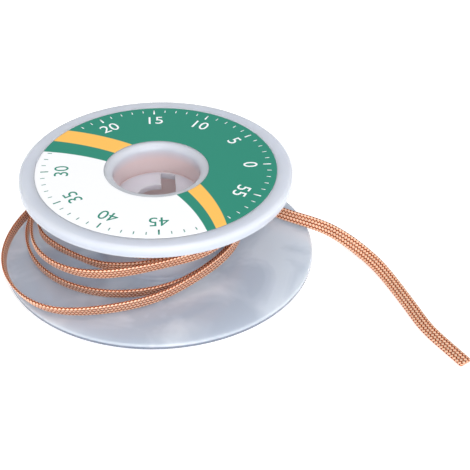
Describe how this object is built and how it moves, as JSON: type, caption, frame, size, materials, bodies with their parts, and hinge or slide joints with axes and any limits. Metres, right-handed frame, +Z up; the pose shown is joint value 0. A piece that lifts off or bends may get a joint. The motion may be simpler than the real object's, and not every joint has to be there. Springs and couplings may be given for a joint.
{
  "type": "desoldering braid on a spool",
  "caption": "Flat woven copper desoldering braid on a small flanged plastic spool with a ring label, its outer turns sprung loose and a free tail lying beside it.",
  "frame": {"origin": "on the floor, on the axis of the spool, at the underside of its wider flange", "axes": "+Z up along the spool's axis, out of the labelled flange; -Y towards the camera; the tail leaves on the +X side"},
  "size_m": [0.062, 0.0505, 0.0141],
  "materials": {
    "clear_polypropylene": "translucent natural polypropylene, moulded",
    "printed_label": "printed self-adhesive label with a satin varnish",
    "copper_braid": "bare copper wire, woven flat and coated with dry flux"
  },
  "bodies": {
    "root": {"spool": "clear_polypropylene", "label": "printed_label", "wound_braid": "copper_braid", "loose_braid": "copper_braid"}
  },
  "joints": []
}
